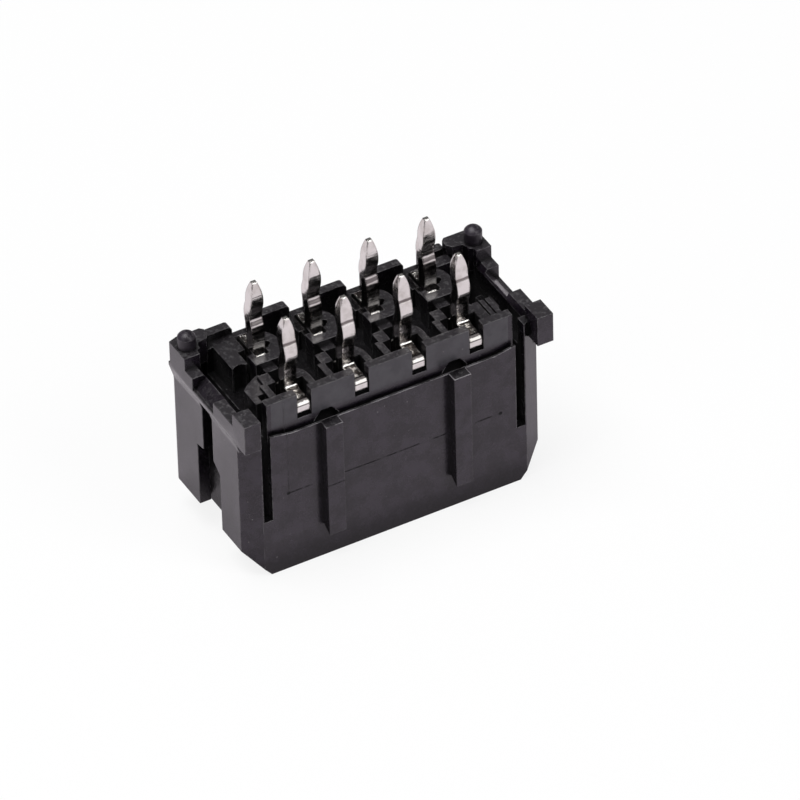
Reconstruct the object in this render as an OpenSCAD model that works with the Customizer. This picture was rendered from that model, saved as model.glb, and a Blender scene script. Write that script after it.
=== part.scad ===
// Vertical two row pin header, standing on its mating rim with its solder tails up.
// The rim is at height 0, the front is towards -Y and the board lies on the seats at the top.
// Width and depth are measured from the middle of the mating pins.

/* [Pin grid] */
// Distance between neighbouring columns of contacts
pitch = 3; // [2.95:0.05:3.2]
// Distance between the two rows of contacts
row_gap = 3; // [2.95:0.05:3.1]
// How far the solder tails stand in front of their mating pins
tail_shift = 0.21; // [0.1:0.01:0.3]

/* [Contacts] */
// Thickness of the sheet that the contacts are cut from
sheet = 0.64; // [0.56:0.02:0.66]
// Depth of a solder tail from front to back
tail_depth = 0.58; // [0.5:0.02:0.62]
// Height of the tail tips above the board seats
tail_reach = 3.29; // [3.15:0.01:3.8]
// Height of the tapered end of a tail
tip_length = 1; // [0.8:0.05:1.1]
// Width left flat on the very tip of a tail
tip_flat = 0.2; // [0.16:0.01:0.26]
// How far the retaining bend swings out of line
bend_swing = 0.2; // [0.12:0.02:0.24]
// Length of the retaining bend along the tail
bend_length = 1.8; // [1.6:0.05:1.9]
// Straight length of a tail between its bend and its tapered end
bend_rest = 0.01; // [0.01:0.01:0.1]
// Depth of the arms' top edge below the board seats
arm_drop = 0.55; // [0.5:0.05:0.6]
// Height of an arm from its underside to its top edge
arm_height = 0.6; // [0.5:0.05:0.65]
// Distance from the back tails to the cut ends of their arms
back_arm = 1.3; // [1.2:0.05:1.4]
// How far a cut arm end leans back over its upper part
arm_bevel = 0.2; // [0.14:0.02:0.24]
// Size of the worn round on the upper corners of an arm
arm_round = 0.09; // [0.06:0.01:0.12]
// Radius at the foot of each tail
foot_radius = 0.12; // [0.08:0.02:0.16]
// Distance from the tail's middle to the inner edge of its plate
plate_inner = 0.66; // [0.6:0.02:0.7]
// Distance from the tail's middle to the outer edge of its plate
plate_outer = 0.56; // [0.54:0.02:0.6]
// Height of the plate's inner shoulder above the arm's underside
shoulder_height = 0.36; // [0.3:0.02:0.44]
// Width of a mating pin from front to back
pin_width = 0.64; // [0.56:0.02:0.66]
// Height of the pin tips above the mating rim
pin_recess = 1.8; // [1.4:0.1:2.2]
// Height of the chamfered pin end
pin_chamfer = 0.4; // [0.3:0.05:0.5]
// Running gap between a contact and its slot
fit_gap = 0.02; // [0.01:0.01:0.04]

/* [Housing] */
// Height of the board seats above the mating rim
board_height = 9.85; // [9.75:0.05:10.2]
// Distance from an end column to the outside of the end wall
end_margin = 3.33; // [3.3:0.05:3.6]
// Distance from a row of mating pins to the nearer long face
long_margin = 1.96; // [1.94:0.02:2.1]
// Thickness of the end walls at their front posts
end_wall = 0.95; // [0.9:0.05:1.05]
// Thickness of the end walls towards the back
thin_wall = 0.58; // [0.5:0.02:0.64]
// Height of the lower edge of the thin end wall
thin_bottom = 1.5; // [1.4:0.05:1.8]
// Gap between an end wall and the shroud
end_gap = 0.46; // [0.4:0.02:0.5]
// Thickness of the front and back walls of the shroud
long_wall = 0.46; // [0.42:0.02:0.5]
// Thickness of the shroud's end walls
short_wall = 0.42; // [0.36:0.02:0.46]
// Lead in around the cavity's mouth
mouth_lead = 0.22; // [0.15:0.01:0.25]
// Width of the slanted front corners along the front face
corner_width = 0.9; // [0.7:0.05:1]
// Depth of the slanted front corners
corner_depth = 0.56; // [0.4:0.02:0.7]
// Radius of the back corners
back_radius = 0.35; // [0.2:0.05:0.5]
// Height of the slanted lower end
bevel_height = 1.5; // [1.3:0.05:1.7]
// How far the slanted lower end runs in along the rim
bevel_width = 1.25; // [1.1:0.05:1.3]
// How far the collar stands out from the end wall
collar_out = 0.22; // [0.16:0.02:0.28]

/* [Front panel] */
// Depth of the front panel's top edge below the board seats
panel_drop = 1.72; // [1.65:0.01:1.8]
// How far the panel's top edge sags between its ends
lip_sag = 0.2; // [0.02:0.02:0.24]
// Length of the slope at each end of the panel's top edge
lip_ramp = 1.1; // [0.8:0.1:1.8]
// Thickness of the thin lip along the panel's top
lip_wall = 0.1; // [0.08:0.01:0.12]
// Width of the groove behind the lip
lip_groove = 0.15; // [0.12:0.01:0.18]
// Depth of the groove behind the lip
groove_depth = 0.5; // [0.4:0.05:0.55]
// Distance between the two guide ribs
rib_spacing = 6.7; // [6:0.05:7]
// Width of a guide rib
rib_width = 0.88; // [0.8:0.02:1.1]
// How far a guide rib stands out of the panel
rib_out = 0.52; // [0.4:0.02:0.8]
// Height of a rib's lower end at the panel
rib_bottom = 1.86; // [1.6:0.02:2.4]
// How far a rib's lower end drops towards its front edge
rib_drop = 0.35; // [0.2:0.05:0.5]
// Height of the bridge below the slots beside the panel
slot_bottom = 3.2; // [2.8:0.1:3.6]

/* [End walls] */
// Width of the narrow upper part of the end slot
slot_narrow = 0.96; // [0.86:0.02:1.06]
// Width of the wide lower part of the end slot
slot_wide = 2.15; // [2:0.05:2.3]
// Height where the end slot widens
slot_widens = 5.2; // [4.8:0.1:5.6]
// Height of the bridge that closes the top of the end slot
slot_bridge = 0.45; // [0.4:0.05:0.55]
// Depth of the end wall's low middle below the board seats
valley_drop = 1.35; // [1.25:0.05:1.4]
// Depth of the steps beside the low middle below the board seats
step_drop = 0.68; // [0.6:0.02:0.8]
// How far the front corner blocks stand out of the front face
block_out = 0.68; // [0.5:0.02:0.75]
// Depth of a front corner block from front to back
block_depth = 1.17; // [1.1:0.05:1.25]
// Height of a front corner block
block_height = 1.62; // [1.5:0.02:1.8]
// Diameter of the locating pegs
peg_diameter = 0.86; // [0.76:0.02:0.9]
// Height of the locating pegs above their seat
peg_height = 0.87; // [0.7:0.01:1.1]
// Distance from the end wall's face to the middle of its peg
peg_inset = 0.31; // [0.28:0.01:0.36]
// Distance from the back face to the middle of the pegs
peg_back = 1.12; // [1:0.02:1.2]
// Depth of the flanges at the back that lie on the board
flange_depth = 1.88; // [1.84:0.02:1.96]
// Distance from the back face to the front of the steps before the flanges
step_depth = 2.56; // [2.5:0.02:2.6]

/* [Board side] */
// Depth of the cored top below the board seats
core_depth = 2.2; // [1.9:0.05:2.3]
// Thickness of the floor between the mating cavity and the cored top
floor_wall = 0.65; // [0.6:0.05:0.8]
// Thickness of the wall in front of the front row
crest_wall = 0.45; // [0.4:0.05:0.5]
// Distance from a column's middle to the left side of its notch
notch_left = 0.34; // [0.34:0.01:0.4]
// Distance from a column's middle to the right side of its notch
notch_right = 0.4; // [0.36:0.01:0.46]
// Depth of the notches below the arms' underside
notch_under = 0.3; // [0.1:0.02:0.34]
// Depth of the front crest below the board seats
crest_drop = 0.05; // [0:0.01:0.1]
// Radius of the round bosses about the tails
boss_radius = 1.15; // [1.1:0.01:1.2]
// Distance from a back tail to the flat front of its boss
boss_front = 1.17; // [1.1:0.01:1.2]
// Distance from a back tail to the flat side of its boss
boss_side = 0.65; // [0.6:0.01:0.7]
// Depth of the back crests below the board seats
merlon_drop = 0.42; // [0.36:0.02:0.5]
// Width of the openings in the back crest
crenel_width = 0.93; // [0.86:0.02:1]
// Radius of the worn upper corners of the back crests
merlon_round = 0.22; // [0.15:0.01:0.3]
// Width of the trapezoid recess above each rib
recess_width = 1.26; // [1.1:0.02:1.5]
// Height of the trapezoid recess above each rib
recess_height = 0.44; // [0.4:0.02:0.56]
// Depth of the trapezoid recess above each rib
recess_depth = 0.28; // [0.2:0.02:0.32]
// Distance from a front tail to the outside of its pocket's left wall
pocket_left = 1.22; // [1.16:0.02:1.3]
// Thickness of a pocket's left and right walls
pocket_wall = 0.34; // [0.28:0.02:0.38]
// Distance from a tail to the near side of the holes beside it
hole_near = 0.36; // [0.36:0.01:0.4]
// Radius of the round hole end in the back bosses
hole_round = 0.17; // [0.14:0.01:0.2]
// Depth of the pad beside the last front contact
pad_depth = 1.72; // [1.66:0.02:1.8]

/* [Latch and keys] */
// Width of the latch ramp on the back face
latch_width = 3.6; // [3:0.1:4.2]
// How far the latch ramp stands out
latch_out = 0.68; // [0.4:0.02:0.8]
// Height of the latching edge above the rim
latch_height = 4.2; // [3.8:0.1:4.6]
// Width of the key ribs in the cavity
key_width = 0.5; // [0.4:0.05:0.6]
// Depth of the key ribs in the cavity
key_depth = 0.35; // [0.25:0.05:0.4]

/* [Hidden] */
$fn = 48;
columns = 4;
// overlap used where two moulded features grow into each other
sink = 0.1;
// far enough to cut clear of a face
past = 1;

x_last = pitch * (columns - 1) / 2;
x_end = x_last + end_margin;
x_wall = x_end - end_wall;
x_box = x_wall - end_gap;
x_collar = x_end + collar_out;
y_back = row_gap / 2 + long_margin;
y_front = -y_back;
y_crest = y_front + lip_wall + lip_groove;
y_pocket = y_crest + crest_wall;
y_rear = y_back - long_wall;

z_panel = board_height - panel_drop;
z_rib = z_panel - lip_sag;
z_deck = z_panel - groove_depth;
z_floor = board_height - core_depth;
z_cavity = z_floor - floor_wall;
z_valley = board_height - valley_drop;
z_step = board_height - step_drop;
z_slot = z_valley - slot_bridge;
z_arm = board_height - arm_drop;
z_seat = z_arm - arm_height;
z_notch = z_seat - notch_under;
z_merlon = board_height - merlon_drop;
z_crest = board_height - crest_drop;

front_tail = -row_gap / 2 - tail_shift;
back_tail = row_gap / 2 - tail_shift;
front_arm = front_tail - y_crest;

// A box between two corners
module block(low, high) {
    translate(low)
        cube([high[0] - low[0], high[1] - low[1], high[2] - low[2]]);
}

// A flat outline given as depth and height, drawn out along X
module along_x(x0, x1) {
    translate([x0, 0, 0])
        rotate([90, 0, 90])
            linear_extrude(x1 - x0)
                children();
}

// A flat outline given as width and height, drawn out along Y
module along_y(y0, y1) {
    translate([0, y1, 0])
        rotate([90, 0, 0])
            linear_extrude(y1 - y0)
                children();
}

// The same feature at both ends
module both_ends() {
    children();
    mirror([1, 0, 0])
        children();
}

// Contact

// Points of one bowed side of a tail, from its foot up to its tip
bend_half = bend_length / 4;
bend_angle = 2 * atan2(bend_swing / 2, bend_half);
bend_radius = bend_half / sin(bend_angle);
bend_steps = 5;
tip_top = board_height + tail_reach;
tip_base = tip_top - tip_length;
bend_high = tip_base - bend_rest;
bend_mid = bend_high - bend_length / 2;
bend_low = bend_high - bend_length;
tip_steps = 5;

function arc(cx, cz, radius, from, to) = [for (i = [0:bend_steps])
    let (a = from + (to - from) * i / bend_steps)
    [cx + radius * cos(a), cz + radius * sin(a)]];

// offset is half the tail's depth, positive on the outer side
function bend_side(offset) = concat(
    arc(bend_radius, bend_low, bend_radius - offset, 180, 180 - bend_angle),
    arc(bend_swing - bend_radius, bend_mid, bend_radius + offset, -bend_angle, bend_angle),
    arc(bend_radius, bend_high, bend_radius - offset, 180 + bend_angle, 180));

function flip(points) = [for (i = [len(points) - 1:-1:0]) points[i]];

// half is half the tail's width, flat is half of what stays flat on top
function tip_side(half, flat) = [for (i = [0:tip_steps])
    let (t = i / tip_steps)
    [flat + (half - flat) * (1 - t * t), tip_base + tip_length * t]];

function mirrored(points) = [for (p = flip(points)) [-p[0], p[1]]];

function foot_fillet(half) = [for (i = [0:4])
    let (a = 270 - 90 * i / 4)
    [half + foot_radius + foot_radius * cos(a), z_arm + foot_radius + foot_radius * sin(a)]];

tail_half = tail_depth / 2;
sheet_half = sheet / 2;
pin_half = pin_width / 2;
pin_end = pin_half * 0.55;
// shares of an arm's height where its cut end starts to lean back and where it leans further,
// and the share of the lean that lies below the second
arm_upright = 0.58;
arm_break = 0.86;
arm_lean = 0.46;
// the sheet's faces stay a little wider at the tip than its edges
tip_spread = 0.02;
plate_low = z_cavity + floor_wall * 0.6;

// Side outline of a contact: outward distance from its tail's middle, and height
module contact_outline(arm, pin_out) {
    shoulder = z_seat + shoulder_height;
    polygon(concat(
        [[arm, z_seat], [arm, z_seat + arm_height * arm_upright],
            [arm - arm_bevel * arm_lean, z_seat + arm_height * arm_break], [arm - arm_bevel, z_arm]],
        foot_fillet(tail_half),
        bend_side(tail_half),
        tip_side(tail_half, tip_flat / 2),
        mirrored(tip_side(tail_half, tip_flat / 2)),
        flip(bend_side(-tail_half)),
        [[-tail_half, shoulder + foot_radius * 2]],
        [[-tail_half - foot_radius, shoulder]],
        [[-plate_inner + foot_radius, shoulder]],
        [[-plate_inner, shoulder - foot_radius]],
        [[-plate_inner, plate_low]],
        [[pin_out - pin_half, plate_low]],
        [[pin_out - pin_half, pin_recess + pin_chamfer]],
        [[pin_out - pin_end, pin_recess]],
        [[pin_out + pin_end, pin_recess]],
        [[pin_out + pin_half, pin_recess + pin_chamfer]],
        [[pin_out + pin_half, plate_low]],
        [[plate_outer, plate_low]],
        [[plate_outer, z_seat]]));
}

// Front outline of a contact: the sheet's thickness, and height
module contact_front() {
    polygon(concat(
        [[sheet_half, pin_recess + pin_chamfer]],
        tip_side(sheet_half, tip_flat / 2 + tip_spread),
        mirrored(tip_side(sheet_half, tip_flat / 2 + tip_spread)),
        [[-sheet_half, pin_recess + pin_chamfer]],
        [[-pin_end, pin_recess]],
        [[pin_end, pin_recess]]));
}

// Rounds off one upper corner of an arm
module arm_corner(arm) {
    translate([0, tail_half + foot_radius + sink, 0])
        along_y(0, arm)
            difference() {
                translate([sheet_half - arm_round, z_arm - arm_round])
                    square(past);
                translate([sheet_half - arm_round, z_arm - arm_round])
                    circle(arm_round);
            }
}

// A contact with its arm towards +Y and its tail on the Z axis
module contact_blank(arm, pin_out) {
    difference() {
        intersection() {
            along_x(-past, past)
                contact_outline(arm, pin_out);
            along_y(-past * 3, past * 3)
                contact_front();
        }
        both_ends()
            arm_corner(arm);
    }
}

module contact(column, front) {
    x = (column - (columns - 1) / 2) * pitch;
    if (front)
        translate([x, front_tail, 0])
            mirror([0, 1, 0])
                contact_blank(front_arm, -tail_shift);
    else
        translate([x, back_tail, 0])
            contact_blank(back_arm, tail_shift);
}

// Housing, from the rim upwards

bevel_slope = bevel_height / bevel_width;

module plan_outline() {
    difference() {
        translate([-x_end, y_front])
            square([2 * x_end, y_back - y_front]);
        for (side = [-1, 1]) {
            polygon([
                [side * (x_end - corner_width), y_front - past],
                [side * (x_end - corner_width), y_front],
                [side * x_end, y_front + corner_depth],
                [side * (x_end + past), y_front + corner_depth],
                [side * (x_end + past), y_front - past]]);
            difference() {
                translate([side * x_end - back_radius, y_back - back_radius])
                    square([2 * back_radius, back_radius + past]);
                translate([side * (x_end - back_radius), y_back - back_radius])
                    circle(back_radius);
            }
        }
    }
}

module lower_body() {
    linear_extrude(z_deck)
        plan_outline();
}

// One run of the end wall's top, with the collar's slope on its outer face.
// rim lists the rest of its outline, from the collar's face round to the inner face.
collar_low = z_deck;
collar_rise = 0.77;
flange_inner = x_end - thin_wall;

module end_run(y0, y1, rim) {
    along_y(y0, y1)
        polygon(concat(
            [[flange_inner, z_deck - sink], [x_end, z_deck - sink], [x_end, collar_low]],
            [[x_collar, collar_low + collar_rise]],
            rim));
}

flange_front = y_back - flange_depth;
flange_set = 0.25;
step_front = y_back - step_depth;
valley_front = -1.1;
block_back = y_front - block_out + block_depth;
block_inner = x_collar - 0.83;
thin_front = slot_wide / 2;
// width and depth of the slope on a step's inner edge
step_land = 0.6;
step_slope = 0.3;
// flat strip outside the low middle, then its slope up to a ridge
valley_land = 0.16;
ridge_width = 0.71;
ridge_drop = 0.17;

module end_step(y0, y1) {
    end_run(y0, y1, [
        [x_collar, z_step],
        [x_collar - step_land, z_step],
        [flange_inner, z_step - step_slope]]);
}

module end_top() {
    // low middle, rising to a ridge along its inner edge
    end_run(valley_front - sink, step_front + sink, [
        [x_collar, z_valley],
        [x_collar - valley_land, z_valley],
        [x_collar - ridge_width, z_step - ridge_drop],
        [flange_inner, z_step - ridge_drop - sink]]);
    // steps behind and in front of the low middle
    end_step(step_front, flange_front + sink);
    end_step(block_back - sink, valley_front);
    // foot of the flange
    end_run(flange_front, y_back - flange_set, [
        [x_collar, z_valley + sink],
        [flange_inner, z_valley + sink]]);
    block([x_box - sink, y_rear, z_deck - sink],
        [flange_inner + sink, y_back - flange_set, z_valley + sink]);
    // corner block
    block([block_inner, y_front - block_out, board_height - block_height],
        [x_collar, block_back, board_height]);
    // post below the block
    translate([0, 0, z_deck - sink])
        linear_extrude(z_step - z_deck + sink)
            intersection() {
                plan_outline();
                translate([x_wall, y_front])
                    square([past, block_back - y_front + sink]);
            }
}

// Flange that carries the peg, stepping in over the open gap towards the back wall
module flange() {
    back = y_back - flange_set;
    jog = 0.21;
    nib = 0.16;
    cut = 0.11;
    translate([0, 0, z_valley])
        linear_extrude(board_height - z_valley)
            polygon([
                [x_collar, flange_front],
                [x_collar, back - cut - 0.03],
                [x_collar - cut, back - cut],
                [x_collar - 4 * cut, back],
                [x_box, back],
                [x_box - nib, back - nib],
                [x_box - nib, y_rear - 2 * nib],
                [x_box + 0.03, y_rear - 0.58],
                [flange_inner - 1.5 * jog, y_rear - 0.66],
                [flange_inner - jog, y_rear - 0.87],
                [flange_inner - jog, y_rear - 1.03],
                [flange_inner, y_rear - 1.17],
                [flange_inner, flange_front]]);
}

// Locating peg with a domed end
peg_dome = 0.26;
peg_x = x_end - peg_inset;
peg_y = y_back - peg_back;
peg_radius = peg_diameter / 2;
dome_radius = (peg_radius * peg_radius + peg_dome * peg_dome) / (2 * peg_dome);

module peg() {
    shoulder = board_height + peg_height - peg_dome;
    translate([peg_x, peg_y, board_height - sink])
        cylinder(r = peg_radius, h = shoulder - board_height + sink);
    // the dome is a cap cut from a sphere, as wide at its base as the peg
    translate([peg_x, peg_y, shoulder])
        intersection() {
            cylinder(r = 2 * peg_radius, h = 2 * peg_dome);
            translate([0, 0, peg_dome - dome_radius])
                sphere(dome_radius);
        }
}

module rib(x) {
    along_x(x - rib_width / 2, x + rib_width / 2)
        polygon([
            [y_front + sink, rib_bottom],
            [y_front, rib_bottom],
            [y_front - rib_out, rib_bottom - rib_drop],
            [y_front - rib_out, z_rib],
            [y_front + lip_wall, z_rib],
            [y_front + lip_wall, z_deck],
            [y_front + sink, z_deck - sink]]);
}

module latch() {
    face = 0.5;
    ramp = 2.4;
    along_x(-latch_width / 2, latch_width / 2)
        polygon([
            [y_back - sink, latch_height],
            [y_back + latch_out, latch_height],
            [y_back + latch_out, latch_height - face],
            [y_back, latch_height - ramp],
            [y_back - sink, latch_height - ramp]]);
}

// Thin lip along the panel's top, lower between its ends
module front_lip() {
    level = x_box - lip_ramp;
    along_y(y_front, y_front + lip_wall)
        polygon([
            [-x_box, z_deck - sink],
            [-x_box, z_panel],
            [-level, z_rib],
            [level, z_rib],
            [x_box, z_panel],
            [x_box, z_deck - sink]]);
}

// Crest in front of the front row
module front_crest() {
    block([-x_box, y_crest, z_deck - sink], [x_box, y_pocket, z_crest]);
}

// Walls about one front tail, given at the tail's own place
module front_pocket() {
    reach = y_pocket - front_tail - sink;
    low = z_floor - sink;
    lump_near = 0.45;
    lump_far = 1;
    lump_back = 1.1;
    web = 0.5;
    // left wall and the lump behind it
    block([-pocket_left, reach, low], [pocket_wall - pocket_left, lump_near, z_arm]);
    block([-lump_far, lump_near - sink, low], [-lump_near, lump_back, z_arm]);
    // right wall, rounded about the tail
    difference() {
        translate([0, 0, low])
            cylinder(r = boss_radius, h = z_arm - low);
        block([-2 * past, -2 * past, low - sink], [hole_near, 2 * past, z_arm + past]);
        block([0, -2 * past, low - sink], [boss_radius - pocket_wall, sink, z_arm + past]);
        block([0, -2 * past, low - sink], [2 * past, 0, z_arm + past]);
    }
    block([boss_radius - pocket_wall, reach, low], [boss_radius, sink / 2, z_arm]);
    // web under the arm
    block([-web, reach, low], [web, -plate_outer - fit_gap, z_seat]);
}

// Boss about one back tail, given at the tail's own place
module back_boss() {
    low = z_floor - sink;
    high = z_arm + past;
    channel = 0.42;
    web = 0.5;
    front_strip = 0.38;
    ledge = 0.32;
    ledge_out = 0.36;
    side_cut = 0.12;
    difference() {
        union() {
            translate([0, 0, low])
                cylinder(r = boss_radius, h = z_arm - low);
            block([0, -boss_front, low], [boss_radius - side_cut, 0, z_arm]);
            block([-boss_side, -boss_front, low], [sink, 0, z_arm]);
        }
        // flat left side and flat front
        block([-2 * past, -2 * past, z_floor], [-boss_side, 2 * past, high]);
        block([-2 * past, -2 * past, z_floor], [2 * past, -boss_front, high]);
        // open space left of the tail
        block([-boss_side - sink, -front_strip, z_floor], [-hole_near, 2 * past, high]);
        // channel of the arm
        block([-channel, 0, z_seat], [channel, 2 * past, high]);
        // hole beside the tail
        block([channel - sink, -hole_round - sink, z_floor], [hole_near + hole_round, hole_round, high]);
        translate([hole_near + hole_round, 0, z_floor])
            cylinder(r = hole_round, h = 2 * past);
    }
    // web under the arm
    block([-web, plate_outer + fit_gap, low], [web, y_rear - back_tail + sink, z_seat]);
    // low ledge in front of the boss
    block([-ledge, -boss_front - ledge_out, low], [ledge, sink - boss_front, z_arm - ledge]);
}

// Crest along the back with an opening for each arm
module back_crest() {
    crenel_under = 0.05;
    z_crenel = z_seat - crenel_under;
    crenel_left = 0.33;
    merlon = pitch - crenel_width;
    block([-x_box, y_rear, z_deck - sink], [x_box, y_back, z_crenel]);
    for (c = [0:columns]) {
        right = (c - (columns - 1) / 2) * pitch - crenel_left;
        left = max(right - merlon, -x_box);
        end = min(right, x_box);
        along_y(y_rear, y_back)
            difference() {
                translate([left, z_crenel - sink])
                    square([end - left, z_merlon - z_crenel + sink]);
                difference() {
                    translate([end - merlon_round, z_merlon - merlon_round])
                        square(past);
                    translate([end - merlon_round, z_merlon - merlon_round])
                        circle(merlon_round);
                }
            }
    }
}

// Pads that close the two ends of the cored top
module end_pads() {
    low = z_floor - sink;
    z_pad = board_height - 0.8;
    z_lump = z_arm - 0.12;
    left = -x_box + 0.34;
    wide = 1.18;
    narrow = 0.8;
    pad_front = 0.7;
    pad_step = 1.64;
    foot = 0.47;
    flute = 0.45;
    flute_out = 0.31;
    right_near = x_last + 0.9;
    right_width = 0.9;
    right_back = y_rear - 0.3;
    right_depth = 0.6;
    // pad at the left end, fluted in front
    difference() {
        union() {
            block([left, pad_step, low], [left + wide, y_rear + sink, z_pad]);
            block([left, pad_front, low], [left + narrow, pad_step + sink, z_pad]);
            block([-x_box, y_rear - foot, low], [left + sink, y_rear + sink, z_pad]);
        }
        translate([left + narrow / 2, pad_front - flute_out, z_floor])
            cylinder(r = flute, h = 2 * past);
    }
    // pad at the right end
    block([right_near, right_back - right_depth, low], [right_near + right_width, right_back, z_arm]);
    // lump beside the first front pocket, with a groove open to the front
    lump_start = 0.55;
    lump_end = 2.35;
    lump_width = 1.1;
    groove_near = 0.34;
    groove_far = 0.72;
    groove_back = 1.05;
    groove_step = 0.45;
    translate([-x_box, y_pocket, low])
        linear_extrude(z_lump - low)
            polygon([
                [0, lump_start],
                [0, lump_end - 0.65],
                [groove_near, lump_end - 0.35],
                [lump_width - 0.15, lump_end],
                [lump_width, lump_end],
                [lump_width, groove_back + groove_step],
                [groove_far, groove_back + groove_step],
                [groove_far, groove_back],
                [groove_near, groove_back],
                [groove_near, lump_start]]);
    // lump beside the last front pocket, with two shallow grooves
    lump = x_last + boss_radius - 0.15;
    lump_back = y_pocket + pad_depth;
    groove = 0.09;
    groove_inset = 0.3;
    difference() {
        block([lump, y_pocket - sink, low], [x_box, lump_back, z_arm]);
        for (x = [lump + groove_inset, lump + 2 * groove_inset])
            block([x, y_pocket + groove_inset, z_arm - 2 * groove],
                [x + groove, lump_back + past, z_arm + past]);
    }
}

// Slot that one contact is pushed into, given at its tail's place
module contact_slot(arm, pin_out) {
    side = sheet_half + fit_gap;
    block([-side, -plate_inner - fit_gap, plate_low - fit_gap],
        [side, plate_outer + fit_gap, board_height + past]);
    block([-side, pin_out - pin_half - fit_gap, z_cavity - past],
        [side, pin_out + pin_half + fit_gap, plate_low]);
    // the arm lies on its seat, free at its sides and its end
    block([-side, 0, z_seat], [side, arm + fit_gap, board_height + past]);
}

module cavity() {
    lead = mouth_lead * 1.6;
    x = x_box - short_wall;
    front = y_front + long_wall;
    intersection() {
        along_y(front - mouth_lead, y_rear + mouth_lead)
            polygon([
                [-x - mouth_lead, -past],
                [-x - mouth_lead, 0],
                [-x, lead],
                [-x, z_cavity],
                [x, z_cavity],
                [x, lead],
                [x + mouth_lead, 0],
                [x + mouth_lead, -past]]);
        along_x(-x_end, x_end)
            polygon([
                [front - mouth_lead, -past],
                [front - mouth_lead, 0],
                [front, lead],
                [front, z_cavity],
                [y_rear, z_cavity],
                [y_rear, lead],
                [y_rear + mouth_lead, 0],
                [y_rear + mouth_lead, -past]]);
    }
}

module key_ribs() {
    front = y_front + long_wall;
    for (x = [-pitch, pitch])
        block([x - key_width / 2, front - sink, mouth_lead * 2],
            [x + key_width / 2, front + key_depth, z_cavity + sink]);
}

// Open gap between the end wall and the shroud, and the slot beside the panel
module end_voids() {
    high = board_height + past;
    block([x_box, y_front + long_wall, -past], [x_wall, y_rear, high]);
    block([x_wall - sink, thin_front, -past], [flange_inner, y_rear, high]);
    block([x_box, y_front - past, slot_bottom], [x_wall, y_front + long_wall + sink, high]);
    // lower edge of the thin wall
    block([x_wall, thin_front - sink, -past], [x_end + past, y_back + past, thin_bottom]);
}

module end_slot() {
    front_slant = 0.45;
    back_slant = 0.1;
    narrow = slot_narrow / 2;
    wide = slot_wide / 2;
    along_x(x_wall - sink, x_collar + past)
        polygon([
            [-wide, -past],
            [-wide, slot_widens - front_slant],
            [-narrow, slot_widens],
            [-narrow, z_slot],
            [narrow, z_slot],
            [narrow, slot_widens],
            [wide, slot_widens - back_slant],
            [wide, -past]]);
}

module end_bevel() {
    along_y(y_front - past, y_back + past)
        polygon([
            [x_end - bevel_width - past, -past * bevel_slope],
            [x_end + past, bevel_height + past * bevel_slope],
            [x_end + past, -past * bevel_slope]]);
}

// Trapezoid recess in the crest above each rib
module rib_recess(x) {
    half = recess_width / 2;
    under = 0.3;
    slant = 0.35;
    along_y(y_crest - sink, y_crest + recess_depth)
        polygon([
            [x - half, z_rib - under],
            [x - half, z_rib],
            [x - half + slant, z_rib + recess_height],
            [x + half - slant, z_rib + recess_height],
            [x + half, z_rib],
            [x + half, z_rib - under]]);
}

module housing() {
    difference() {
        union() {
            difference() {
                union() {
                    lower_body();
                    both_ends()
                        end_top();
                    front_lip();
                    block([-x_box, y_crest, z_deck - sink], [x_box, y_rear + sink, z_floor]);
                    front_crest();
                    back_crest();
                    for (side = [-1, 1])
                        rib(side * rib_spacing / 2);
                    latch();
                }
                cavity();
                block([-x_box, y_pocket, z_floor], [x_box, y_rear, board_height + past]);
                both_ends() {
                    end_voids();
                    end_slot();
                    end_bevel();
                }
                for (side = [-1, 1])
                    rib_recess(side * rib_spacing / 2);
                for (c = [0:columns - 1]) {
                    x = (c - (columns - 1) / 2) * pitch;
                    block([x - notch_left, y_crest - past, z_notch],
                        [x + notch_right, y_pocket + sink, board_height + past]);
                }
            }
            key_ribs();
            for (c = [0:columns - 1]) {
                x = (c - (columns - 1) / 2) * pitch;
                translate([x, front_tail, 0])
                    front_pocket();
                translate([x, back_tail, 0])
                    back_boss();
            }
            end_pads();
            both_ends() {
                flange();
                peg();
            }
        }
        for (c = [0:columns - 1]) {
            x = (c - (columns - 1) / 2) * pitch;
            translate([x, front_tail, 0])
                mirror([0, 1, 0])
                    contact_slot(front_arm, -tail_shift);
            translate([x, back_tail, 0])
                contact_slot(back_arm, tail_shift);
        }
    }
}

color([0.06, 0.06, 0.07]) housing();
color([0.8, 0.79, 0.77]) contact(0, true);  // contact_1
color([0.8, 0.79, 0.77]) contact(1, true);  // contact_2
color([0.8, 0.79, 0.77]) contact(2, true);  // contact_3
color([0.8, 0.79, 0.77]) contact(3, true);  // contact_4
color([0.8, 0.79, 0.77]) contact(0, false);  // contact_5
color([0.8, 0.79, 0.77]) contact(1, false);  // contact_6
color([0.8, 0.79, 0.77]) contact(2, false);  // contact_7
color([0.8, 0.79, 0.77]) contact(3, false);  // contact_8
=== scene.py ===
import math

import bmesh
import bpy
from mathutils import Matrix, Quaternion, Vector


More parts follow.
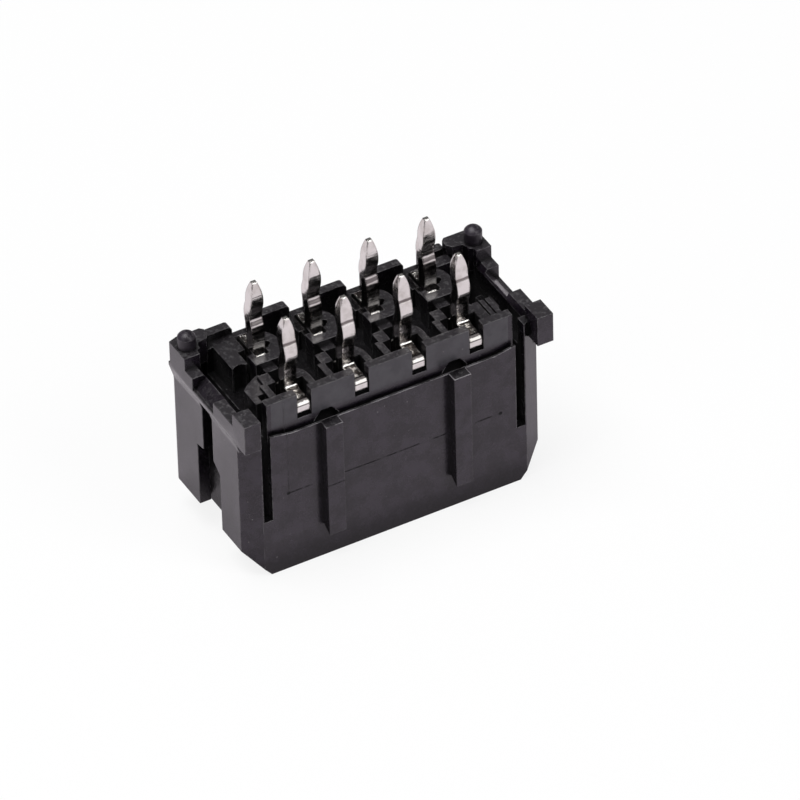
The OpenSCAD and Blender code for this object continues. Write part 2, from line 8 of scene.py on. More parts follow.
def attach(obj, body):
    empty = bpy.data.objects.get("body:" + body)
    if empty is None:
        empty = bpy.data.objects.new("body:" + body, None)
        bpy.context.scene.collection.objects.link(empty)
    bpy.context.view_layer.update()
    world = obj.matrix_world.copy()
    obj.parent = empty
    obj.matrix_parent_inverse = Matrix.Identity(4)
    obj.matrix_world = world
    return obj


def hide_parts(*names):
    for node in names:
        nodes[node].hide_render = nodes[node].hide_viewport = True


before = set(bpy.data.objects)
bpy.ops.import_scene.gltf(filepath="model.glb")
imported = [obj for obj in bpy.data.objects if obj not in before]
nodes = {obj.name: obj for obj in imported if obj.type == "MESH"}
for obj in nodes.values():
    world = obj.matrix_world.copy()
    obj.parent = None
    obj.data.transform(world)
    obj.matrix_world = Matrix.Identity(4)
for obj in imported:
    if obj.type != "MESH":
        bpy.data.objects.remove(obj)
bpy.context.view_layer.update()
scene = bpy.context.scene
mm = 0.001  # lengths in the dictionaries below are in millimetres


# Small helpers for node trees

def addNode(tree, kind, **settings):
    node = tree.nodes.new(kind)
    for name, value in settings.items():
        setattr(node, name, value)
    return node


def link(tree, source, target):
    tree.links.new(source, target)


def feed(tree, value, socket):
    # the value is another node's output, or a plain number or colour
    if isinstance(value, bpy.types.NodeSocket):
        link(tree, value, socket)
    else:
        socket.default_value = value


def mathNode(tree, operation, *values, clamp=False):
    node = addNode(tree, "ShaderNodeMath", operation=operation, use_clamp=clamp)
    for socket, value in zip(node.inputs, values):
        feed(tree, value, socket)
    return node.outputs[0]


def times(tree, first, *others):
    # masks and values multiplied together
    for other in others:
        first = mathNode(tree, "MULTIPLY", first, other)
    return first


def above(tree, value, limit):
    return mathNode(tree, "GREATER_THAN", value, limit)


def below(tree, value, limit):
    return mathNode(tree, "LESS_THAN", value, limit)


def distanceTo(tree, value, place):
    return mathNode(tree, "ABSOLUTE", mathNode(tree, "SUBTRACT", value, place))


def lengthOf(tree, across, along):
    squares = mathNode(tree, "ADD", times(tree, across, across), times(tree, along, along))
    return mathNode(tree, "SQRT", squares)


def shareBetween(tree, value, low, high):
    # 0 at low, 1 at high, straight in between
    over = mathNode(tree, "SUBTRACT", value, low)
    span = mathNode(tree, "SUBTRACT", high, low)
    return mathNode(tree, "DIVIDE", over, span, clamp=True)


def ramp(tree, value, low, high, toLow=0.0, toHigh=1.0):
    # a soft step: toLow below low, toHigh above high
    node = addNode(tree, "ShaderNodeMapRange", interpolation_type="SMOOTHSTEP")
    link(tree, value, node.inputs["Value"])
    node.inputs["From Min"].default_value = low
    node.inputs["From Max"].default_value = high
    node.inputs["To Min"].default_value = toLow
    node.inputs["To Max"].default_value = toHigh
    return node.outputs["Result"]


def band(tree, value, middle, inner, outer, inside=1.0, outside=0.0):
    # inside as far as the inner distance from the middle, outside past the outer one
    return ramp(tree, distanceTo(tree, value, middle), inner, outer, inside, outside)


def splitVector(tree, vector):
    node = addNode(tree, "ShaderNodeSeparateXYZ")
    link(tree, vector, node.inputs[0])
    return node.outputs


def mixColours(tree, factor, first, second):
    # a mix node has one pair of inputs for each kind of value; 6 and 7 take colours
    node = addNode(tree, "ShaderNodeMix", data_type="RGBA")
    link(tree, factor, node.inputs[0])
    for socket, value in ((node.inputs[6], first), (node.inputs[7], second)):
        feed(tree, (*value, 1) if isinstance(value, tuple) else value, socket)
    return node.outputs[2]


def layColours(tree, colour, values, layers):
    # each layer is a mask and the name of the colour that it brings
    for mask, name in layers:
        colour = mixColours(tree, mask, colour, values[name])
    return colour


def noiseNode(tree, vector, scale, detail=2.0, roughness=0.5):
    node = addNode(tree, "ShaderNodeTexNoise")
    feed(tree, scale, node.inputs["Scale"])
    node.inputs["Detail"].default_value = detail
    node.inputs["Roughness"].default_value = roughness
    link(tree, vector, node.inputs["Vector"])
    return node.outputs["Fac"]


def patches(tree, vector, scale, detail, roughness, low, high, toLow=0.0, toHigh=1.0):
    # toHigh where the noise is high, toLow in between
    return ramp(tree, noiseNode(tree, vector, scale, detail, roughness), low, high, toLow, toHigh)


def unsteady(tree, value, vector, scale, drift):
    # the value plus a noise that drifts half of the drift to either side
    moved = mathNode(tree, "ADD", value, times(tree, noiseNode(tree, vector, scale), drift))
    return mathNode(tree, "SUBTRACT", moved, drift / 2)


def newGroup(name, inputs, outputs):
    group = bpy.data.node_groups.new(name, "ShaderNodeTree")
    for socketName, kind, value in inputs:
        socket = group.interface.new_socket(name=socketName, in_out="INPUT", socket_type=kind)
        if value is not None:
            socket.default_value = value
    for socketName, kind in outputs:
        group.interface.new_socket(name=socketName, in_out="OUTPUT", socket_type=kind)
    return group, addNode(group, "NodeGroupInput"), addNode(group, "NodeGroupOutput")


def placeGroup(tree, group, **values):
    node = addNode(tree, "ShaderNodeGroup", node_tree=group)
    for name, value in values.items():
        feed(tree, value, node.inputs[name])
    return node


def newMaterial(name):
    material = bpy.data.materials.new(name)
    material.use_nodes = True
    tree = material.node_tree
    tree.nodes.clear()
    return material, tree, addNode(tree, "ShaderNodeOutputMaterial")


def millimetres(tree):
    place = addNode(tree, "ShaderNodeTexCoord")
    scaled = addNode(tree, "ShaderNodeMapping")
    scaled.inputs["Scale"].default_value = (1 / mm, 1 / mm, 1 / mm)
    link(tree, place.outputs["Object"], scaled.inputs["Vector"])
    return scaled.outputs["Vector"]


# Surface effects that both materials share

surface = {
    "grainNoise": (3.0, 0.6),  # detail and roughness
    "cloudNoise": (3.0, 0.55),
    "speckSize": (0.04, 0.11),
    # patches of noise: scale, detail, roughness, where they start and where they are full
    "speckPatches": (1.7, 1.0, 0.5, 0.56, 0.66),
    "bevelSamples": 6,
    "cornerSamples": 4,
    "cornerOpenness": (0.75, 0.95),
    "bumpStrength": 0.5,
}


def makeGrainGroup():
    # fine surface grain, broad clouding and a few pale specks, all on millimetre coordinates
    group, start, end = newGroup(
        "surface grain",
        [("Vector", "NodeSocketVector", None), ("Grain", "NodeSocketFloat", 12.0),
         ("Cloud", "NodeSocketFloat", 0.6), ("Speck", "NodeSocketFloat", 3.0)],
        [("Height", "NodeSocketFloat"), ("Tone", "NodeSocketFloat"), ("Specks", "NodeSocketFloat")])
    vector = start.outputs["Vector"]
    fine = noiseNode(group, vector, start.outputs["Grain"], *surface["grainNoise"])
    cloud = noiseNode(group, vector, start.outputs["Cloud"], *surface["cloudNoise"])
    cells = addNode(group, "ShaderNodeTexVoronoi", feature="F1")
    link(group, vector, cells.inputs["Vector"])
    link(group, start.outputs["Speck"], cells.inputs["Scale"])
    dots = ramp(group, cells.outputs["Distance"], *surface["speckSize"], 1.0, 0.0)
    specks = times(group, dots, patches(group, vector, *surface["speckPatches"]))
    link(group, fine, end.inputs["Height"])
    link(group, cloud, end.inputs["Tone"])
    link(group, specks, end.inputs["Specks"])
    return group


def makeFacingGroup():
    # 1 on faces that look up, 0 on the others, from a normal
    group, start, end = newGroup(
        "facing up",
        [("Normal", "NodeSocketVector", None),
         ("Low", "NodeSocketFloat", 0.75), ("High", "NodeSocketFloat", 0.95)],
        [("Up", "NodeSocketFloat")])
    upward = splitVector(group, start.outputs["Normal"])["Z"]
    share = shareBetween(group, upward, start.outputs["Low"], start.outputs["High"])
    link(group, share, end.inputs["Up"])
    return group


def roundedNormal(tree, radius, cornersToo):
    # the normal is rounded at outer edges; in inner corners it stays flat unless they are asked for
    bevel = addNode(tree, "ShaderNodeBevel", samples=surface["bevelSamples"])
    bevel.inputs["Radius"].default_value = radius * mm
    flat = addNode(tree, "ShaderNodeNewGeometry").outputs["Normal"]
    if cornersToo:
        return bevel.outputs["Normal"], flat
    corner = addNode(tree, "ShaderNodeAmbientOcclusion", samples=surface["cornerSamples"], only_local=True)
    corner.inputs["Distance"].default_value = 2 * radius * mm
    blend = addNode(tree, "ShaderNodeMix", data_type="VECTOR")
    link(tree, ramp(tree, corner.outputs["AO"], *surface["cornerOpenness"]), blend.inputs[0])
    link(tree, flat, blend.inputs[4])  # 4 and 5 take vectors
    link(tree, bevel.outputs["Normal"], blend.inputs[5])
    return blend.outputs[1], flat


def addBump(tree, shader, height, normal, depth):
    bump = addNode(tree, "ShaderNodeBump")
    bump.inputs["Strength"].default_value = surface["bumpStrength"]
    bump.inputs["Distance"].default_value = depth * mm
    link(tree, height, bump.inputs["Height"])
    link(tree, normal, bump.inputs["Normal"])
    link(tree, bump.outputs["Normal"], shader.inputs["Normal"])


grainGroup = makeGrainGroup()
facingGroup = makeFacingGroup()
print("surface effects built")


# Housing: black moulded plastic

plastic = {
    "colour": (0.0075, 0.0048, 0.0088),
    "cloudColour": (0.022, 0.0168, 0.0255),
    "grainColour": (0.021, 0.0175, 0.023),
    # partly dust and partly painted light from above, on faces that look up
    "dustAndTopLightColour": (0.022, 0.0195, 0.0225),
    "crestColour": (0.046, 0.0445, 0.051),
    "scuffColour": (0.075, 0.072, 0.076),
    # painted shade in closed-in places; the mould's lines take this colour too
    "shadeAndLineColour": (0.0008, 0.0007, 0.001),
    # partly rubbed wear and partly a painted highlight on the edges
    "rubAndHighlightColour": (0.1, 0.096, 0.1),
    # painted highlight along the lip
    "lipHighlightColour": (0.3, 0.285, 0.3),
    "speckColour": (0.10, 0.095, 0.10),
    "grainScale": 9.0,
    "cloudScale": 1.3,
    "speckScale": 2.2,
    "cloudTone": (0.35, 0.65),
    "grainTone": (0.45, 0.75),
    "grainDepth": 0.012,
    # patches of noise: scale, detail, roughness, where they start and where they are full
    "rubAndHighlightPatches": (2.5, 4.0, 0.5, 0.38, 0.62),
    "scuffPatches": (4.5, 5.0, 0.65, 0.48, 0.72),
    "lipHighlightPatches": (0.9, 3.0, 0.5, 0.38, 0.55),
    "mottlePatches": (2.6, 4.0, 0.6, 0.3, 0.7),
    "linePatches": (2.1, 3.0, 0.5, 0.35, 0.6),
    "lineFaint": 0.25,  # how much of the mould's lines is left between those patches
    "roughness": 0.21,
    "mottleRoughness": 0.1,
    "lineRoughness": 0.7,
    "slotRoughness": 0.75,
    "pegRoughness": 0.22,
    "specular": 0.45,
    "specularTint": (1.0, 0.97, 1.0),
    "edgeRadius": 0.07,
    "edgeTurn": (0.004, 0.05),  # turn of the rounded normal where an edge starts and where it is full
    "facingUp": (0.6, 0.9),
    "deepReach": 2.5,  # walls within this distance close a place in
    "deepSamples": 6,
    # openness where the painted shade in closed-in places starts and where it is full
    "shadeOpenness": (0.88, 0.42),
    "slotOpenness": (0.36, 0.12),
    "panelHalf": 6.2,
    "panelFront": -3.2,
    "panelRubAndHighlight": 0.15,
    "crestFrom": (8.2, 8.5),
    "crestFacing": -0.7,
    "crestTone": (0.3, 0.7),
    "crestThin": 0.6,
    "lipHeight": (7.88, 8.16),
    "lineFront": -3.0,
    "lineHeight": 4.45,
    "lineWidth": 0.035,
    "lineDrift": (1.3, -0.05),  # scale of the noise, and how far it moves the line
    "lineStretches": ((-5.56, -4.31), (-3.79, -2.91), (-2.64, 2.67), (4.21, 5.59)),
    "dotPlace": 5.57,
    "dotSize": 0.095,
    "seamPlace": -5.55,
    "seamStrength": 0.5,
    "pegPlace": (7.52, 2.34),
    "pegReach": 0.47,
    "pegFrom": 9.87,
}


def makeEdgeGroup():
    # how far the rounded normal turns away from the flat one: 1 on an edge, 0 on a flat
    group, start, end = newGroup(
        "edge rub and highlight",
        [("Rounded", "NodeSocketVector", None), ("Flat", "NodeSocketVector", None),
         ("Low", "NodeSocketFloat", 0.004), ("High", "NodeSocketFloat", 0.08)],
        [("Edge", "NodeSocketFloat")])
    dot = addNode(group, "ShaderNodeVectorMath", operation="DOT_PRODUCT")
    link(group, start.outputs["Rounded"], dot.inputs[0])
    link(group, start.outputs["Flat"], dot.inputs[1])
    turned = mathNode(group, "SUBTRACT", 1.0, dot.outputs["Value"])
    share = shareBetween(group, turned, start.outputs["Low"], start.outputs["High"])
    link(group, share, end.inputs["Edge"])
    return group


def makeLineGroup():
    # hairlines that the mould's inserts left on the front panel
    group, start, end = newGroup(
        "mould lines",
        [("Vector", "NodeSocketVector", None), ("Width", "NodeSocketFloat", 0.03)],
        [("Line", "NodeSocketFloat")])
    vector, width = start.outputs["Vector"], start.outputs["Width"]
    across, depth, height = splitVector(group, vector)
    off = distanceTo(group, unsteady(group, height, vector, *plastic["lineDrift"]), plastic["lineHeight"])
    along = 0.0
    for low, high in plastic["lineStretches"]:
        inside = times(group, above(group, across, low), below(group, across, high))
        along = mathNode(group, "MAXIMUM", inside, along)
    level = times(group, below(group, off, width), along)
    # a fainter upright seam stands at the left end of the lines
    side = distanceTo(group, across, plastic["seamPlace"])
    seam = times(group, below(group, side, width), above(group, height, plastic["lineHeight"]),
                 plastic["seamStrength"])
    # a small dot where the outermost stretches end
    aside = mathNode(group, "SUBTRACT", mathNode(group, "ABSOLUTE", across), plastic["dotPlace"])
    dots = below(group, lengthOf(group, aside, off), plastic["dotSize"])
    broken = patches(group, vector, *plastic["linePatches"], toLow=plastic["lineFaint"])
    line = times(group, mathNode(group, "MAXIMUM", level, seam), broken)
    line = mathNode(group, "MAXIMUM", line, dots)
    link(group, times(group, line, below(group, depth, plastic["lineFront"])), end.inputs["Line"])
    return group


def makePegGroup():
    # 1 on the two locating pegs, which are more matt than the rest
    group, start, end = newGroup(
        "pegs",
        [("Vector", "NodeSocketVector", None), ("Reach", "NodeSocketFloat", 0.47)],
        [("Peg", "NodeSocketFloat")])
    across, depth, height = splitVector(group, start.outputs["Vector"])
    pegAcross, pegDepth = plastic["pegPlace"]
    aside = mathNode(group, "SUBTRACT", mathNode(group, "ABSOLUTE", across), pegAcross)
    behind = mathNode(group, "SUBTRACT", depth, pegDepth)
    near = below(group, lengthOf(group, aside, behind), start.outputs["Reach"])
    link(group, times(group, near, above(group, height, plastic["pegFrom"])), end.inputs["Peg"])
    return group


edgeGroup = makeEdgeGroup()
lineGroup = makeLineGroup()
pegGroup = makePegGroup()


def frontPanel(tree, x, y):
    # 1 on the front panel, with its ribs, its lip and the crest over it
    return times(tree, below(tree, mathNode(tree, "ABSOLUTE", x), plastic["panelHalf"]),
                 below(tree, y, plastic["panelFront"]))


def crestDust(tree, z, flat, tone, panel):
    # the front of the crest is a little dusty
    front = below(tree, splitVector(tree, flat)["Y"], plastic["crestFacing"])
    cloudy = ramp(tree, tone, *plastic["crestTone"], plastic["crestThin"])
    return times(tree, ramp(tree, z, *plastic["crestFrom"]), front, cloudy, panel)


def rubbedAndLitEdges(tree, where, z, edge, panel):
    # edges are rubbed pale in patches, partly wear and partly a painted highlight; those of the ribs on the
    # panel hardly are
    onRibs = times(tree, panel, below(tree, z, plastic["lipHeight"][0]))
    kept = ramp(tree, onRibs, 0.0, 1.0, 1.0, plastic["panelRubAndHighlight"])
    return times(tree, edge, patches(tree, where, *plastic["rubAndHighlightPatches"]), kept)


def lipHighlight(tree, where, z, edge, panel):
    # a painted highlight: a pale broken line along the lip
    low, high = plastic["lipHeight"]
    return times(tree, above(tree, z, low), below(tree, z, high), panel, edge,
                 patches(tree, where, *plastic["lipHighlightPatches"]))


def makePlastic():
    material, tree, output = newMaterial("black moulded plastic")
    shader = addNode(tree, "ShaderNodeBsdfPrincipled")
    link(tree, shader.outputs[0], output.inputs["Surface"])
    where = millimetres(tree)
    x, y, z = splitVector(tree, where)
    grain = placeGroup(tree, grainGroup, Vector=where, Grain=plastic["grainScale"],
                       Cloud=plastic["cloudScale"], Speck=plastic["speckScale"])
    height, tone = grain.outputs["Height"], grain.outputs["Tone"]
    rounded, flat = roundedNormal(tree, plastic["edgeRadius"], False)
    low, high = plastic["edgeTurn"]
    edge = placeGroup(tree, edgeGroup, Rounded=rounded, Flat=flat, Low=low, High=high).outputs["Edge"]
    low, high = plastic["facingUp"]
    up = placeGroup(tree, facingGroup, Normal=flat, Low=low, High=high).outputs["Up"]
    line = placeGroup(tree, lineGroup, Vector=where, Width=plastic["lineWidth"]).outputs["Line"]
    onPeg = placeGroup(tree, pegGroup, Vector=where, Reach=plastic["pegReach"]).outputs["Peg"]
    hollow = addNode(tree, "ShaderNodeAmbientOcclusion", samples=plastic["deepSamples"])
    hollow.inputs["Distance"].default_value = plastic["deepReach"] * mm
    openness = hollow.outputs["AO"]
    panel = frontPanel(tree, x, y)
    scuffs = times(tree, up, patches(tree, where, *plastic["scuffPatches"]))
    shallow, deep = plastic["shadeOpenness"]
    colour = layColours(tree, plastic["colour"], plastic, (
        (ramp(tree, tone, *plastic["cloudTone"]), "cloudColour"),
        (ramp(tree, height, *plastic["grainTone"]), "grainColour"),
        # partly dust and partly painted light: faces that look up are lighter, apart from the pegs
        (times(tree, up, mathNode(tree, "SUBTRACT", 1.0, onPeg)), "dustAndTopLightColour"),
        (crestDust(tree, z, flat, tone, panel), "crestColour"),
        (scuffs, "scuffColour"),
        # painted shade: places closed in by walls are darkened
        (ramp(tree, openness, deep, shallow, 1.0, 0.0), "shadeAndLineColour"),
        (rubbedAndLitEdges(tree, where, z, edge, panel), "rubAndHighlightColour"),
        (lipHighlight(tree, where, z, edge, panel), "lipHighlightColour"),
        (grain.outputs["Specks"], "speckColour"),
        (line, "shadeAndLineColour"),
    ))
    link(tree, colour, shader.inputs["Base Color"])
    # mottled gloss, none at the bottom of deep slots, and less on the lines and the pegs
    mottle = patches(tree, where, *plastic["mottlePatches"])
    shallow, deep = plastic["slotOpenness"]
    rough = plastic["roughness"] - plastic["mottleRoughness"] / 2
    for more in (
            times(tree, mottle, plastic["mottleRoughness"]),
            times(tree, line, plastic["lineRoughness"]),
            ramp(tree, openness, deep, shallow, plastic["slotRoughness"], 0.0),
            times(tree, onPeg, plastic["pegRoughness"])):
        rough = mathNode(tree, "ADD", more, rough, clamp=True)
    link(tree, rough, shader.inputs["Roughness"])
    addBump(tree, shader, height, rounded, plastic["grainDepth"])
    shader.inputs["Specular IOR Level"].default_value = plastic["specular"]
    shader.inputs["Specular Tint"].default_value = (*plastic["specularTint"], 1)
    return material


# Contacts: tin plated sheet

tin = {
    "colour": (0.74, 0.715, 0.692),
    "dullColour": (0.585, 0.555, 0.525),
    "brownAndShadeColour": (0.062, 0.05, 0.047),
    "endShadeColour": (0.016, 0.013, 0.013),
    "creaseShadeColour": (0.05, 0.045, 0.045),
    "kinkShadeColour": (0.12, 0.1, 0.1),
    "hollowShadeColour": (0.17, 0.155, 0.153),
    "grainScale": 7.0,
    "cloudScale": 1.6,
    "speckScale": 3.4,
    "dullTone": (0.42, 0.75),
    "roughTone": (0.3, 0.75),
    "roughness": (0.09, 0.21),
    "edgeRadius": 0.12,
    "facingUp": (0.75, 0.95),
    "waveDepth": 0.01,
    "waveScale": 2.2,
    "streakScale": (0.6, 0.6, 5.0),
    "streakHeight": 2.2,
    "pitNoise": (9.0, 3.0, 0.6),  # scale, detail and roughness
    "pitHeight": 9.0,
    "armTop": 9.6,
    "armsMiddle": -0.2,
    "armsFrom": 1.7,
    "stainAndShadeGaps": (5.0, 3.0, 0.5, 0.45, 0.66),  # scale, detail, roughness, start and full
    "stainAndShadeInGaps": 0.15,
    # each drift below is the scale of a noise, and how far it moves the line
    "endTop": 9.23,
    "endFade": 0.05,
    "endDrift": (6.0, -0.06),
    "endStrength": 0.97,
    "endFront": -2.93,
    "endBelow": 9.4,
    "creaseLine": 9.05,
    "creaseWidth": (0.015, 0.04),
    "creaseStrength": 0.85,
    "creaseFront": -3.1,
    "kinkLine": 11.86,
    "kinkWidth": (0.03, 0.11),
    "kinkDrift": (1.5, 0.1),
    "kinkStrength": 0.9,
    "kinkFront": -1.9,
    "hollowMiddle": 10.75,
    "hollowHalf": 0.5,
    "hollowFade": 0.08,
    "hollowDrift": (2.5, 0.08),
    "hollowLines": (11.01, 10.72),
    "hollowLineWidth": (0.02, 0.07),
    "hollowLineShade": 0.2,
    "hollowBack": 0.5,
    "hollowFacing": -0.3,
}


def topOfArms(tree, y, z, up):
    # 1 on top of the arms, 0 on the tails and the pins
    outside = above(tree, distanceTo(tree, y, tin["armsMiddle"]), tin["armsFrom"])
    return times(tree, up, below(tree, z, tin["armTop"]), outside)


def armEndShade(tree, where, y, z):
    # painted shade: the front arms' cut ends are dark along their ragged top
    ragged = unsteady(tree, z, where, *tin["endDrift"])
    dark = ramp(tree, ragged, tin["endTop"] - tin["endFade"], tin["endTop"], 0.0, tin["endStrength"])
    return times(tree, dark, below(tree, y, tin["endFront"]), below(tree, z, tin["endBelow"]))


def endCreaseShade(tree, y, z):
    # painted shade: a thin dark line where the end of a front arm starts to lean back
    crease = band(tree, z, tin["creaseLine"], *tin["creaseWidth"], tin["creaseStrength"])
    return times(tree, crease, below(tree, y, tin["creaseFront"]))


def tailKinkShade(tree, where, y, z):
    # painted shade: a dark line across the front tails where the sheet is bent most
    drifting = unsteady(tree, z, where, *tin["kinkDrift"])
    kink = band(tree, drifting, tin["kinkLine"], *tin["kinkWidth"], tin["kinkStrength"])
    return times(tree, kink, below(tree, y, tin["kinkFront"]))


def tailHollowShade(tree, where, y, z, flat):
    # painted shade: the hollow of the back tails is dark, apart from two bright lines
    drifting = unsteady(tree, z, where, *tin["hollowDrift"])
    half = tin["hollowHalf"]
    shaded = band(tree, drifting, tin["hollowMiddle"], half - tin["hollowFade"], half)
    for place in tin["hollowLines"]:
        kept = band(tree, drifting, place, *tin["hollowLineWidth"], tin["hollowLineShade"], 1.0)
        shaded = times(tree, shaded, kept)
    facing = splitVector(tree, flat)["Y"]
    return times(tree, shaded, above(tree, y, tin["hollowBack"]), below(tree, facing, tin["hollowFacing"]))


def makeTin():
    material, tree, output = newMaterial("bright tin plate")
    shader = addNode(tree, "ShaderNodeBsdfPrincipled")
    link(tree, shader.outputs[0], output.inputs["Surface"])
    where = millimetres(tree)
    y, z = splitVector(tree, where)[1:3]
    grain = placeGroup(tree, grainGroup, Vector=where, Grain=tin["grainScale"],
                       Cloud=tin["cloudScale"], Speck=tin["speckScale"])
    rounded, flat = roundedNormal(tree, tin["edgeRadius"], True)
    low, high = tin["facingUp"]
    up = placeGroup(tree, facingGroup, Normal=flat, Low=low, High=high).outputs["Up"]
    arm = topOfArms(tree, y, z, up)
    stainAndShade = patches(tree, where, *tin["stainAndShadeGaps"], toLow=1.0, toHigh=tin["stainAndShadeInGaps"])
    colour = layColours(tree, tin["colour"], tin, (
        (ramp(tree, grain.outputs["Tone"], *tin["dullTone"]), "dullColour"),
        # partly a brown stain and partly painted shade on top of the arms, in patches
        (times(tree, arm, stainAndShade), "brownAndShadeColour"),
        (armEndShade(tree, where, y, z), "endShadeColour"),
        (endCreaseShade(tree, y, z), "creaseShadeColour"),
        (tailKinkShade(tree, where, y, z), "kinkShadeColour"),
        (tailHollowShade(tree, where, y, z, flat), "hollowShadeColour"),
    ))
    link(tree, colour, shader.inputs["Base Color"])
    rough = ramp(tree, grain.outputs["Height"], *tin["roughTone"], *tin["roughness"])
    link(tree, rough, shader.inputs["Roughness"])
    # streaks across the tails, slow waves, and pits on the arms
    streaks = addNode(tree, "ShaderNodeMapping")
    streaks.inputs["Scale"].default_value = tin["streakScale"]
    link(tree, where, streaks.inputs["Vector"])
    waves = times(tree, noiseNode(tree, streaks.outputs["Vector"], 1.0), tin["streakHeight"])
    waves = mathNode(tree, "ADD", waves, noiseNode(tree, where, tin["waveScale"]))
    pits = times(tree, noiseNode(tree, where, *tin["pitNoise"]), tin["pitHeight"])
    waves = mathNode(tree, "ADD", waves, times(tree, arm, pits))
    addBump(tree, shader, waves, rounded, tin["waveDepth"])
    shader.inputs["Metallic"].default_value = 1.0
    return material


plasticMaterial = makePlastic()
tinMaterial = makeTin()
print("plastic and tin plate mixed")


# Welded copies of the pieces, smooth over their curves and sharp at their edges

finish = {
    "weldWithin": 0.0001,
    "sharpAngle": 28,
}


def weldedPiece(node, pieceName, material):
    # triangles of a CAD piece that touch share their corners in the copy
    shape = bmesh.new()
    shape.from_mesh(node.data)
    bmesh.ops.remove_doubles(shape, verts=shape.verts, dist=finish["weldWithin"] * mm)
    for face in shape.faces:
        face.smooth = True
    sharp = math.radians(finish["sharpAngle"])
    for edge in shape.edges:
        edge.smooth = len(edge.link_faces) == 2 and edge.calc_face_angle(0) < sharp
    mesh = bpy.data.meshes.new(pieceName)
    shape.to_mesh(mesh)
    shape.free()
    mesh.materials.append(material)
    piece = bpy.data.objects.new(pieceName, mesh)
    scene.collection.objects.link(piece)
    weights = piece.modifiers.new("weighted normals", "WEIGHTED_NORMAL")
    weights.keep_sharp = True
    return piece


for name, node in nodes.items():
    isHousing = name == "housing"
    piece = weldedPiece(node, name + "_finished", plasticMaterial if isHousing else tinMaterial)
    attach(piece, "root")
    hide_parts(name)
print("pieces finished")


# Floor, light and camera

studio = {
    "floorSize": 3000,
    "floorColour": (0.84, 0.84, 0.845),
    "floorWhite": 0.86,  # share of plain white that the camera and the gloss see
    "floorTint": (1.0, 0.93, 0.99),
    "floorGloss": 0.86,
    # painted shadow: the gloss of the floor is dimmer beside the part
    "nearGlossShadow": 0.64,  # share of the gloss that is left beside the part
    "nearReach": (2.8, 1.4),
    "footprint": (8, 4),
    "worldLevel": 0.07,
    "lampAim": (0, 0, 6),
}

lamps = {  # place, width and height, and power in watts
    "top": ((-110, 40, 460), (300, 300), 2.2),
    "front": ((190, -352, 95), (320, 180), 0.27),
    "key": ((163, -288, 306), (180, 180), 0.5),
    "side": ((-400, -140, 260), (260, 260), 0.25),
    "back": ((165, 305, 290), (340, 300), 0.06),
}

camera = {
    "place": (-169.07, -319.21, 306.16),
    "aim": (2.190, -0.005, 4.205),
    "roll": -1.625,
    "sensor": 36,
    "lens": 459.28,
    "nearest": 10,
    "farthest": 10000,
}


def lookAt(place, aim, roll=0.0):
    direction = Vector(aim) - Vector(place)
    turn = direction.to_track_quat("-Z", "Y")
    return turn @ Quaternion((0, 0, 1), math.radians(roll))


def floorGloss(tree):
    # painted shadow: the floor's mirror image in the part is dimmer close to the part
    across, along = splitVector(tree, millimetres(tree))[0:2]
    away = []
    for place, half, reach in zip((across, along), studio["footprint"], studio["nearReach"]):
        off = mathNode(tree, "SUBTRACT", mathNode(tree, "ABSOLUTE", place), half)
        away.append(mathNode(tree, "DIVIDE", mathNode(tree, "MAXIMUM", off, 0.0), reach))
    far = studio["floorGloss"]
    return ramp(tree, lengthOf(tree, *away), 0, 1, far * studio["nearGlossShadow"], far)


def makePaper():
    material, tree, output = newMaterial("white paper")
    paper = addNode(tree, "ShaderNodeBsdfDiffuse")
    paper.inputs["Color"].default_value = (*studio["floorColour"], 1)
    rays = addNode(tree, "ShaderNodeLightPath").outputs
    white = addNode(tree, "ShaderNodeEmission")
    link(tree, mathNode(tree, "MAXIMUM", rays["Is Camera Ray"], floorGloss(tree)), white.inputs["Strength"])
    # plain white for the camera, a little purple in the part's reflections
    link(tree, mixColours(tree, rays["Is Camera Ray"], studio["floorTint"], (1, 1, 1)), white.inputs["Color"])
    seen = mathNode(tree, "MAXIMUM", rays["Is Camera Ray"], rays["Is Glossy Ray"])
    seen = mathNode(tree, "MAXIMUM", seen, rays["Is Transmission Ray"])
    mix = addNode(tree, "ShaderNodeMixShader")
    link(tree, times(tree, seen, studio["floorWhite"]), mix.inputs[0])
    link(tree, paper.outputs[0], mix.inputs[1])
    link(tree, white.outputs[0], mix.inputs[2])
    link(tree, mix.outputs[0], output.inputs["Surface"])
    return material


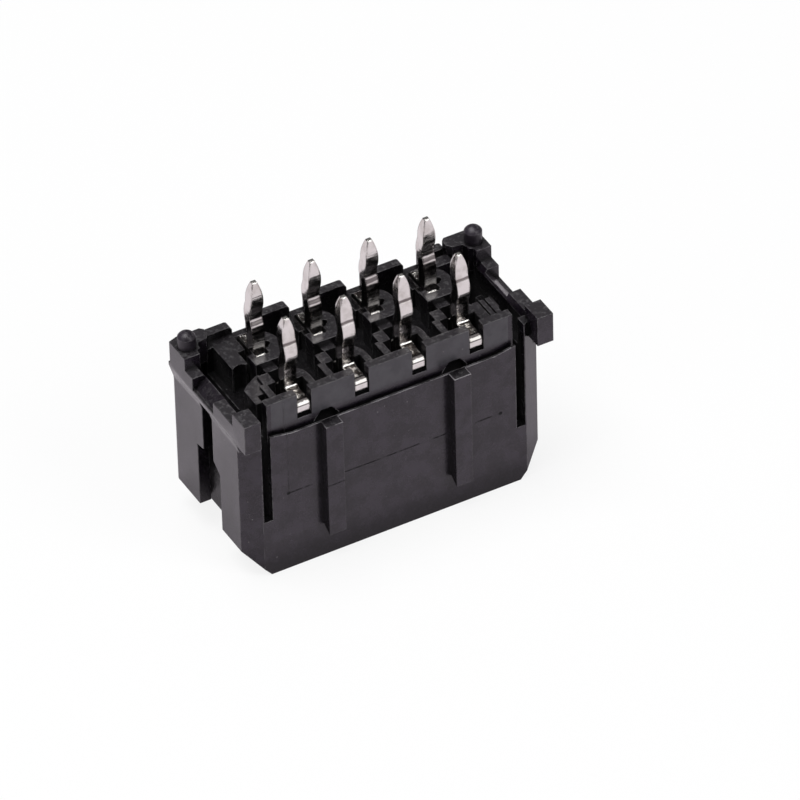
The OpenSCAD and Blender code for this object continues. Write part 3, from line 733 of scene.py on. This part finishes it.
def addFloor():
    edge = studio["floorSize"] / 2 * mm
    corners = [(-edge, -edge, 0), (edge, -edge, 0), (edge, edge, 0), (-edge, edge, 0)]
    mesh = bpy.data.meshes.new("floor")
    mesh.from_pydata(corners, [], [(0, 1, 2, 3)])
    mesh.materials.append(makePaper())
    floor = bpy.data.objects.new("floor", mesh)
    scene.collection.objects.link(floor)


def addWorld():
    # white for the camera, dim for the light that it gives
    world = bpy.data.worlds.new("studio")
    scene.world = world
    world.use_nodes = True
    tree = world.node_tree
    tree.nodes.clear()
    rays = addNode(tree, "ShaderNodeLightPath")
    level = addNode(tree, "ShaderNodeMix", data_type="FLOAT")
    link(tree, rays.outputs["Is Camera Ray"], level.inputs[0])
    level.inputs[2].default_value = studio["worldLevel"]
    level.inputs[3].default_value = 1.0
    background = addNode(tree, "ShaderNodeBackground")
    link(tree, level.outputs[0], background.inputs["Strength"])
    link(tree, background.outputs[0], addNode(tree, "ShaderNodeOutputWorld").inputs["Surface"])


def addLamp(name, place, size, power):
    light = bpy.data.lights.new(name, "AREA")
    light.shape = "RECTANGLE"
    light.size = size[0] * mm
    light.size_y = size[1] * mm
    light.energy = power
    lamp = bpy.data.objects.new(name, light)
    lamp.location = Vector(place) * mm
    lamp.rotation_mode = "QUATERNION"
    lamp.rotation_quaternion = lookAt(place, studio["lampAim"])
    lamp.visible_camera = False
    scene.collection.objects.link(lamp)


def addCamera():
    data = bpy.data.cameras.new("camera")
    data.sensor_width = camera["sensor"]
    data.lens = camera["lens"]
    data.clip_start = camera["nearest"] * mm
    data.clip_end = camera["farthest"] * mm
    eye = bpy.data.objects.new("camera", data)
    eye.location = Vector(camera["place"]) * mm
    eye.rotation_mode = "QUATERNION"
    eye.rotation_quaternion = lookAt(camera["place"], camera["aim"], camera["roll"])
    scene.collection.objects.link(eye)
    scene.camera = eye


addFloor()
addWorld()
for lampName, (place, size, power) in lamps.items():
    addLamp(lampName, place, size, power)
addCamera()
scene.view_settings.view_transform = "Standard"
print("studio ready")
